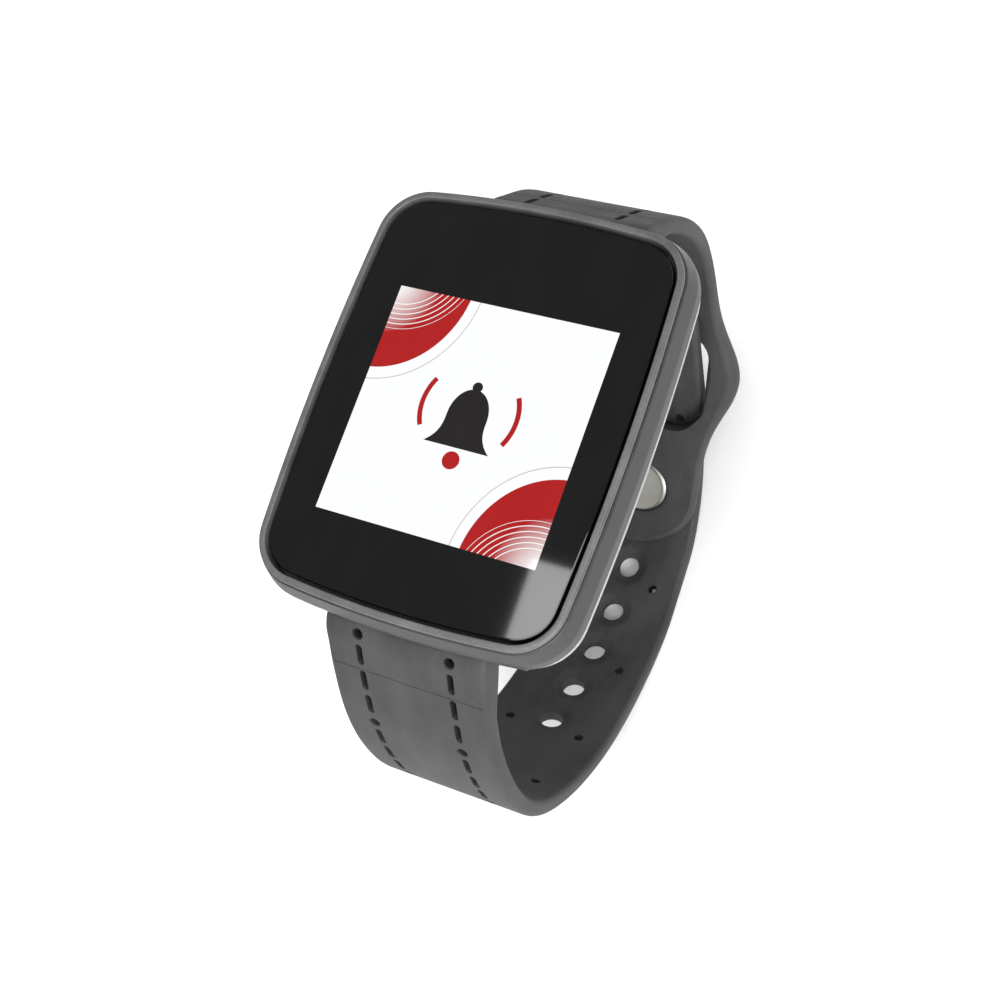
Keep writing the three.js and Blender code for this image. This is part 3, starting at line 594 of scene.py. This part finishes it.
def make_cover():
    """The light back, with room for the lugs, a seat for each screw and a well for each contact."""
    skins = [cover_plastic, pocket_painted_shade]
    profile = [
        (-3.4, BACK), (-2.95, -11.9), (-2.5, -11.6), (0.1, -9.3), (0.4, -8.9), (1.2, -7.2),
        (1.55, -6.3), (1.72, -5.7), (1.75, -5.05)]
    cover = loft("back_cover", [outline(*p) for p in profile], skins)
    for end in BOTH:
        near, far = sorted((end * (END_WALL - LUG_CLEARANCE), end * 45))
        reach = LUG_OUTER + LUG_CLEARANCE
        room = rounded_box("room", (-reach, near, -PAST), (reach, far, 5), 0.9, [cover_plastic])
        combine(cover, room, "DIFFERENCE")
    seat = [(0, -14), (2.3, -14), (2.3, BACK), (1.88, BACK + 0.28), (1.88, BACK + 0.8), (0, BACK + 0.8)]
    well = [(0, -14), (1.5, -14), (1.5, BACK), (1.02, BACK + 0.25), (1.02, BACK + 1), (0, BACK + 1)]
    for profile, spots in ((seat, SCREWS), (well, CONTACTS)):
        for x, y in spots:
            hole = turned("hole", profile, skins)
            hole.data.transform(Matrix.Translation((x, y, 0)))
            combine(cover, hole, "DIFFERENCE")
    settle(cover, "case", ["rear_cover"])


HEAD_RADIUS = 1.65
HEAD_ROUND = 0.45
SCREW_TIP = -6.6
CROSS = (0.95, 0.17)                # half length and half width of each slot of the cross


def make_screw(number, x, y):
    """Pan-head screw with a cross recess, seen from the back."""
    floor = BACK + 0.06
    middle = HEAD_RADIUS - HEAD_ROUND - 0.1
    profile = [(0, floor + 0.05), (0.7, floor + 0.05)]
    for angle in np.linspace(0, math.pi / 2, 6):
        bulge = HEAD_ROUND * math.sin(angle)
        profile.append((middle + bulge, floor + 0.5 - HEAD_ROUND * math.cos(angle)))
    profile += [(HEAD_RADIUS, floor + 0.72), (0.75, floor + 0.74), (0.75, SCREW_TIP), (0, SCREW_TIP)]
    # The cross recess takes the near-black painted shade.
    skins = [steel, pocket_painted_shade]
    screw = turned(f"cover_screw_{number}", profile, skins)
    for half_x, half_y in (CROSS, CROSS[::-1]):
        low, high = (-half_x, -half_y, floor - 1), (half_x, half_y, floor + 0.5)
        combine(screw, rounded_box("cross", low, high, 0.05, skins, PAINTED_SHADE), "DIFFERENCE")
    screw.data.transform(Matrix.Translation((x, y, 0)))
    settle(screw, "case", [f"rear_screw_{number}"])


CONTACT_RADIUS = 0.95


def make_contact(number, x, y):
    """A charging contact with a domed face and a flange that holds it in the cover."""
    profile = [(0, BACK + 0.02)]
    for angle in np.linspace(0.2, math.pi / 2, 8):
        profile.append((CONTACT_RADIUS * math.sin(angle) ** 0.6, BACK + 0.35 - 0.33 * math.cos(angle)))
    profile += [(CONTACT_RADIUS, BACK + 1.3), (1.35, BACK + 1.3), (1.35, BACK + 1.7), (0, BACK + 1.7)]
    pin = turned(f"charge_pin_{number}", profile, [gilt])
    pin.data.transform(Matrix.Translation((x, y, 0)))
    settle(pin, "case", [f"charge_contact_{number}"])


def make_key():
    """Side key with rounded edges and its plunger."""
    low = (KEY_FACE, KEY_Y - KEY_HALF_LENGTH, KEY_Z - KEY_HALF_HEIGHT)
    high = (KEY_BACK, KEY_Y + KEY_HALF_LENGTH, KEY_Z + KEY_HALF_HEIGHT)
    key = rounded_box("side_key", low, high, 0.62, [rim_plastic])
    stem = turned("stem", [(0, -19.6), (0.45, -19.6), (0.45, -17.35), (0, -17.35)], [rim_plastic], 24)
    lay_across(stem, KEY_Y, KEY_Z)
    combine(key, stem, "UNION")
    settle(key, "power_key", ["power_key"])


# ---------------------------------------------------------------- straps
class Course:
    """A strap's outer face in the Y-Z plane: a centripetal spline, measured along its length."""

    PER_SPAN = 48

    def __init__(self, end, points):
        self.end = end
        first = 2 * np.array(points[0]) - points[1]
        last = 2 * np.array(points[-1]) - points[-2]
        marks = np.array([first, *points, last])
        line = []
        for before, start, stop, after in zip(marks, marks[1:], marks[2:], marks[3:]):
            steps = ((before, start), (start, stop), (stop, after))
            t0, t1, t2 = (math.sqrt(np.linalg.norm(b - a)) for a, b in steps)
            leave = ((start - before) / t0 - (stop - before) / (t0 + t1) + (stop - start) / t1) * t1
            arrive = ((stop - start) / t1 - (after - start) / (t1 + t2) + (after - stop) / t2) * t1
            for t in np.arange(self.PER_SPAN) / self.PER_SPAN:
                line.append(
                    start * (2 * t**3 - 3 * t**2 + 1) + leave * (t**3 - 2 * t**2 + t)
                    + stop * (3 * t**2 - 2 * t**3) + arrive * (t**3 - t**2))
        self.line = np.array([*line, marks[-2]])
        self.at = np.concatenate([[0], np.cumsum(np.linalg.norm(np.diff(self.line, axis=0), axis=1))])
        self.length = self.at[-1]
        slopes = np.gradient(self.line, self.at, axis=0)
        self.slopes = slopes / np.linalg.norm(slopes, axis=1)[:, None]

    def frame(self, s):
        """The point at s along the outer face, and the inward direction; straight past the ends."""
        inside = min(max(s, 0.0), self.length)
        point = np.array([np.interp(inside, self.at, self.line[:, k]) for k in (0, 1)])
        slope = np.array([np.interp(inside, self.at, self.slopes[:, k]) for k in (0, 1)])
        slope /= np.linalg.norm(slope)
        point = point + slope * (s - inside)
        return point, np.array([self.end * slope[1], -self.end * slope[0]])

    def nearest(self, y, z):
        return self.at[np.argmin(np.hypot(self.line[:, 0] - y, self.line[:, 1] - z))]

    def bend(self, piece):
        """Bends a shape that was built flat, as (across, along, depth), onto the course."""
        for vertex in piece.data.vertices:
            x, s, depth = vertex.co
            point, inward = self.frame(s)
            vertex.co = (x, *(point + inward * depth))
        piece.data.update()


THICK = 2.2
LAP = THICK + 0.3
KNUCKLE = 2.16                      # radius of the strap's end about its spring bar
END_HALF_WIDTH = 10.4
LONG_TIP_HALF_WIDTH = 8.0
SHORT_TIP_HALF_WIDTH = 8.4
EDGE = 0.72                         # rounding of the strap's long edges

LONG = Course(-1, [
    (-23.7, -4.72), (-25.7, -4.85), (-27.3, -5.9), (-28.8, -7.9), (-31.3, -11.4), (-35.1, -17.8),
    (-37.8, -24.9), (-39.2, -32.5), (-38.7, -40), (-36.1, -47.3), (-31.6, -54.6), (-26.2, -60.4),
    (-20.4, -64.6), (-14.5, -67.6), (-10.2, -69.2), (-6.2, -70.12), (-2.2, -70.2), (1.8, -70.2),
    (5.4, -70.05), (8.6, -69.1), (11.8, -67.4), (14.8, -65.2), (17.6, -62.5), (20.2, -59.7),
    (22.7, -56.8), (24.8, -53.4), (26.4, -49.8), (28.1, -46), (30.1, -41.4), (31.8, -36.8),
    (33, -31.8), (33.5, -26.8)])


def lap_point(y, z):
    """A point of the short strap's outer face where it lies on the inner face of the long one."""
    point, inward = LONG.frame(LONG.nearest(y, z))
    return point + inward * LAP


SHORT = Course(1, [
    (23.7, -4.72), (25.9, -5.05), (27.9, -6.5), (29.7, -8.8), (32.9, -13.4), (35.5, -19.3),
    (36.8, -25.3), (36.5, -31), (35.2, -36.8), (33.2, -42), (30.9, -46.2), (28.1, -49.9),
    (24.6, -52.7), lap_point(22.4, -57.2), lap_point(20.2, -59.7), lap_point(17.6, -62.5),
    lap_point(14.8, -65.2), lap_point(11.8, -67.4), lap_point(8.6, -69.1), lap_point(5.0, -70.1)])

STUD_ON_LONG = LONG.nearest(14.3, -65.6)
STUD_ON_SHORT = SHORT.nearest(12.9, -63.6)
SLOT = SHORT.nearest(26.7, -51.1)
STUD_PITCH = 7.4
STUD_HOLE = 1.65
SLOT_HALF_WIDTH = 8.4
SLOT_LENGTH = 15.8
SLOT_RAIL = 4.4
SLOT_CORNER = 4.2
SLOT_SWELL = 0.75                   # how far each face bulges round the slot
SWELL_REACH = 7.6
STITCH_PITCH = 14.8
STITCH_LINE = 0.57                  # of the half width
STITCH_HOLE = 0.6
DASHES = (3.1, 7.2, 11.3)
DASH_HALF_LENGTH = 1.5
DASH_HALF_WIDTH = 0.34
PARTING_LINE = 5.4                  # from the first stitch hole
NEARLY = 0.001                      # keeps the four arcs of a round hole from sharing their ends


def ramp(value, start, stop, low, high):
    return low + (high - low) * min(max((value - start) / (stop - start), 0), 1)


def swell(s):
    """1 at the slot's middle, fading to nothing along the short strap."""
    return math.exp(-(((s - SLOT) / SWELL_REACH) ** 2))


def round_tip(s, length, width):
    """The half width, closed by a round tip."""
    radius = width(length)
    into = max(0.0, s - (length - radius))
    return math.sqrt(max(radius**2 - into**2, 0.36)) if into > 0 else width(s)


def body_depth(s):
    """Strap thickness: a round knuckle about the spring bar that thins into the band."""
    return ramp(s, 3, 12, 2 * KNUCKLE, THICK)


def long_width(s):
    return ramp(s, 25, 115, END_HALF_WIDTH, LONG_TIP_HALF_WIDTH)


def short_taper(s):
    return ramp(s, 20, 75, END_HALF_WIDTH, SHORT_TIP_HALF_WIDTH)


def short_width(s):
    return short_taper(s) + (SLOT_HALF_WIDTH + SLOT_RAIL - short_taper(SLOT)) * swell(s)


def section(half, low, high, edge, columns=12, arc=5):
    """A rounded rectangle from depth low to high, as (across, depth), for a loft along the strap."""
    edge = min(edge, half * 0.9, (high - low) * 0.46)
    ring = []
    corners = ((-1, low, math.pi), (1, low, 1.5 * math.pi), (1, high, 0), (-1, high, 0.5 * math.pi))
    for k, (side, depth, start) in enumerate(corners):
        middle = (side * (half - edge), depth + (edge if k < 2 else -edge))
        for step in range(arc + 1):
            angle = start + (math.pi / 2) * step / arc
            ring.append((middle[0] + edge * math.cos(angle), middle[1] + edge * math.sin(angle)))
        if k in (0, 2):
            far = -side * (half - edge)
            for column in range(1, columns):
                ring.append((middle[0] + (far - middle[0]) * column / columns, depth))
    return ring


def stations(length, tip):
    """Places along the strap: close together round the knuckle and the tip."""
    bend = [-KNUCKLE * math.cos(a) for a in np.linspace(0.16, math.pi / 2, 9)]
    near = list(np.arange(0.4, 14, 0.4))
    middle = list(np.arange(14, length - tip, 0.9))
    end = [length - tip + tip * math.sin(a) for a in np.linspace(0.04, math.pi / 2, 16)]
    return bend + near + middle + end


def strap_blank(name, course, half_width, edge, bulge):
    """The flat band: bulge(s) gives how far the outer and the inner face stand proud of it."""
    length = course.length
    rings = []
    for s in stations(length, half_width(length)):
        depth = body_depth(s)
        if s < 0:
            half_depth = math.sqrt(max(KNUCKLE**2 - s**2, 0.04))
            low, high = KNUCKLE - half_depth, KNUCKLE + half_depth
        else:
            outer, inner = bulge(s)
            low, high = -outer, depth + inner
        half = round_tip(s, length, half_width)
        rings.append([(x, s, d) for x, d in section(half, low, high, edge(s))])
    blank = loft(name, rings, [silicone, stitch_painted_shade])
    if sum(face.normal.z * face.center.z for face in blank.data.polygons) < 0:
        blank.data.flip_normals()
    return blank


def stadium(x, s, half_x, half_s, radius, layers, index=0, steps=6):
    """A cutter through the band: a rounded rectangle that grows by each (depth, grow) layer."""
    rings = []
    for depth, grow in layers:
        ring = []
        for k, (side_x, side_s) in enumerate(((1, 1), (-1, 1), (-1, -1), (1, -1))):
            for step in range(steps + 1):
                angle = (k + step / steps) * math.pi / 2
                reach = radius + grow
                across = x + side_x * (half_x - radius) + reach * math.cos(angle)
                along = s + side_s * (half_s - radius) + reach * math.sin(angle)
                ring.append((across, along, depth))
        rings.append(ring)
    tool = loft("cutter", rings, [silicone, stitch_painted_shade])
    tool.data.polygons.foreach_set("material_index", [index] * len(tool.data.polygons))
    return tool


def round_hole(x, s, radius, layers, index=0, steps=6):
    return stadium(x, s, radius, radius, radius - NEARLY, layers, index, steps)


def join_tools(tools):
    """One mesh of several cutters that don't touch."""
    points, faces, indices = [], [], []
    for tool in tools:
        start = len(points)
        points += [tuple(v.co) for v in tool.data.vertices]
        faces += [tuple(start + i for i in face.vertices) for face in tool.data.polygons]
        indices += [face.material_index for face in tool.data.polygons]
        bpy.data.objects.remove(tool)
    return add_mesh("cutters", points, faces, [silicone, stitch_painted_shade], indices)


def stitch_marks(half_width, first, last):
    """Two columns of marks: a small through hole, then three short grooves, again and again."""
    # Their walls and floors take the near-black painted shade.
    through = [(-1, 0.14), (0, 0.14), (0.14, 0), (THICK - 0.1, 0), (THICK, 0.1), (THICK + 3, 0.1)]
    groove = [(-1, 0.08), (0, 0.08), (0.1, 0), (1.1, 0)]
    tools = []
    count = int((last - first) // STITCH_PITCH) + 1
    for side in BOTH:
        for s in (first + repeat * STITCH_PITCH for repeat in range(count)):
            tools.append(round_hole(side * STITCH_LINE * half_width(s), s, STITCH_HOLE, through, PAINTED_SHADE))
            for at in (s + dash for dash in DASHES):
                if at + DASH_HALF_LENGTH < last:
                    x = side * STITCH_LINE * half_width(at)
                    width = DASH_HALF_WIDTH
                    tools.append(stadium(x, at, width, DASH_HALF_LENGTH, width - NEARLY, groove, PAINTED_SHADE))
    return tools


def faint_line(half_width, s):
    """A parting line that the mould leaves across the outer face."""
    return stadium(0, s, half_width(s) + 1, 0.07, 0.06, [(-1, 0), (0.05, 0)])


def bar_bore():
    skins = [silicone, stitch_painted_shade]
    # The bore's faces take the near-black painted shade.
    bore = turned("bore", [(0, -14), (0.97, -14), (0.97, 14), (0, 14)], skins, 24, PAINTED_SHADE)
    lay_across(bore, 0, KNUCKLE)
    return bore


def cut_and_bend(strap, course, half_width, first, tools):
    """Cuts the tools, the bar's bore and the parting line out of the flat band, then bends it."""
    combine(strap, join_tools([*tools, bar_bore()]), "DIFFERENCE")
    combine(strap, faint_line(half_width, first + PARTING_LINE), "DIFFERENCE")
    course.bend(strap)


def make_long_strap():
    strap = strap_blank("strap_long", LONG, long_width, lambda s: EDGE, lambda s: (0.0, 0.0))
    first = LONG.nearest(-27.1, -5.4)
    tools = stitch_marks(long_width, first, STUD_ON_LONG + 20)
    dish = [
        (-1, 0.22), (0, 0.22), (0.2, 0), (THICK - 0.55, 0), (THICK - 0.42, 0.5),
        (THICK - 0.12, 1.15), (THICK, 1.5), (THICK + 2, 1.5)]
    for number in range(-6, 2):
        tools.append(round_hole(0, STUD_ON_LONG + number * STUD_PITCH, STUD_HOLE, dish))
    cut_and_bend(strap, LONG, long_width, first, tools)
    settle(strap, "lower_strap", ["long_strap_band", "long_strap_tail"], sharp=42)


def make_short_strap():
    def edge(s):
        return EDGE + SLOT_SWELL * swell(s)

    def bulge(s):
        inner = 0.4 * swell(s) if s < SLOT + 6 else 0.0
        return SLOT_SWELL * swell(s), inner

    strap = strap_blank("strap_short", SHORT, short_width, edge, bulge)
    first = SHORT.nearest(27.3, -5.9)
    tools = stitch_marks(short_width, first, SLOT - SLOT_LENGTH / 2 - 4)
    rim = [
        (-3, 1.2), (-1.0, 1.2), (-0.75, 0.85), (-0.35, 0.4), (0.2, 0.1), (0.8, 0), (1.5, 0),
        (2.2, 0.25), (2.6, 0.7), (5, 0.7)]
    tools.append(stadium(0, SLOT, SLOT_HALF_WIDTH, SLOT_LENGTH / 2, SLOT_CORNER, rim, steps=10))
    seat = [
        (-2, 0), (THICK - 0.6, 0), (THICK - 0.6, 2.8), (THICK - 0.1, 2.85), (THICK + 0.01, 3.05),
        (THICK + 2, 3.05)]
    tools.append(round_hole(0, STUD_ON_SHORT, 1.38, seat, steps=12))
    cut_and_bend(strap, SHORT, short_width, first, tools)
    settle(strap, "upper_strap", ["short_strap"], sharp=42)


STUD_SEAT = THICK - 0.6             # the plate lies in a shallow seat


def make_stud():
    """Riveted stud: a dished plate inside, a post through both straps and a mushroom button outside."""
    top = STUD_SEAT + 0.7
    plate = [
        (0, top - 0.1), (2.6, top - 0.06), (3.4, top), (3.75, top - 0.05), (4.0, top - 0.28),
        (4.0, top - 0.62), (1.3, top - 0.65)]
    button = [
        (1.3, -THICK - 0.58), (2.1, -THICK - 0.62), (2.35, -THICK - 0.85), (2.3, -THICK - 1.2),
        (1.75, -THICK - 1.5), (0.9, -THICK - 1.6), (0, -THICK - 1.6)]
    stud = turned("strap_stud", list(reversed(plate + button)), [stud_metal], 64)
    point, inward = SHORT.frame(STUD_ON_SHORT)
    along = np.array([-SHORT.end * inward[1], SHORT.end * inward[0]])
    for vertex in stud.data.vertices:
        x, s, depth = vertex.co
        vertex.co = (x, *(point + inward * depth + along * s))
    stud.data.update()
    settle(stud, "upper_strap", ["closure_stud"])


make_glass()
make_bezel()
make_case()
make_cover()
for count, spot in enumerate(SCREWS, 1):
    make_screw(count, *spot)
for count, spot in enumerate(CONTACTS, 1):
    make_contact(count, *spot)
make_key()
make_long_strap()
make_short_strap()
make_stud()

# ---------------------------------------------------------------- the CAD nodes that show as they are
KEPT = {
    seal_rubber: ["lens_adhesive", "case_seal", "battery_pad", "motor_boot", "key_seal"],
    screen_film: ["lcd_panel"],
    foil: ["lcd_backlight", "rf_shield", "clock_crystal", "battery_cell"],
    flex_film: ["lcd_flex"],
    board_green: ["main_board"],
    chip_epoxy: ["radio_chip", "processor_chip", "buzzer"],
    gilt: ["antenna", "motor_weight"],
    white_plastic: ["battery_plug"],
    red_wire: ["battery_lead_positive"],
    black_wire: ["battery_lead_negative"],
    steel: ["motor_can", "motor_shaft", "key_switch", "lower_bar_tube", "lower_bar_spring",
            "lower_bar_pin_left", "lower_bar_pin_right", "upper_bar_tube", "upper_bar_spring",
            "upper_bar_pin_left", "upper_bar_pin_right"],
}
for material, names in KEPT.items():
    for name in names:
        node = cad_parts[name]
        node.data.materials.clear()
        node.data.materials.append(material)


# ---------------------------------------------------------------- floor and light
FLOOR_HALF = 1.6


def make_floor():
    finish = Finish("floor", Specular_IOR_Level=0.2)
    finish.to("Base Color", finish.mix(finish.noise(0.004, 2), (0.86, 0.86, 0.86), (0.88, 0.88, 0.88)))
    finish.to("Roughness", finish.spread(finish.noise(0.02, 2), 0.7, 0.8))
    corners = ((-1, -1), (1, -1), (1, 1), (-1, 1))
    points = [(FLOOR_HALF * x, FLOOR_HALF * y, 0) for x, y in corners]
    floor = add_mesh("floor", points, [(0, 1, 2, 3)], [finish.material])


def soft_box(name, place, aim, size, power):
    """A rectangular lamp: place, aim and size in metres, power in watts."""
    light = bpy.data.lights.new(name, "AREA")
    light.shape = "RECTANGLE"
    light.size, light.size_y = size
    light.energy = power
    lamp = bpy.data.objects.new(name, light)
    bpy.context.scene.collection.objects.link(lamp)
    lamp.location = place
    lamp.rotation_euler = (Vector(aim) - Vector(place)).to_track_quat("-Z", "Y").to_euler()


CENTRE = (0.0, 0.0, 0.05)
WORLD_LIGHT = 0.3

make_floor()
soft_box("key", (0.6, -0.42, 0.42), CENTRE, (0.5, 0.4), 7.0)
soft_box("fill", (-0.15, -0.85, 0.3), CENTRE, (0.6, 0.4), 2.4)
soft_box("back", (0.45, 0.75, 0.5), CENTRE, (0.7, 0.4), 2.4)
soft_box("top", (0.06, -0.155, 0.67), (0.06, -0.155, 0.0), (0.5, 0.5), 4.6)
soft_box("window", (-0.191, 0.066, 0.67), (-0.191, 0.066, 0.0), (0.085, 0.05), 0.11)

world = bpy.data.worlds.new("world")
bpy.context.scene.world = world
world.use_nodes = True
background = world.node_tree.nodes["Background"]
background.inputs["Color"].default_value = (1, 1, 1, 1)
background.inputs["Strength"].default_value = WORLD_LIGHT
bpy.context.scene.view_settings.view_transform = "Standard"
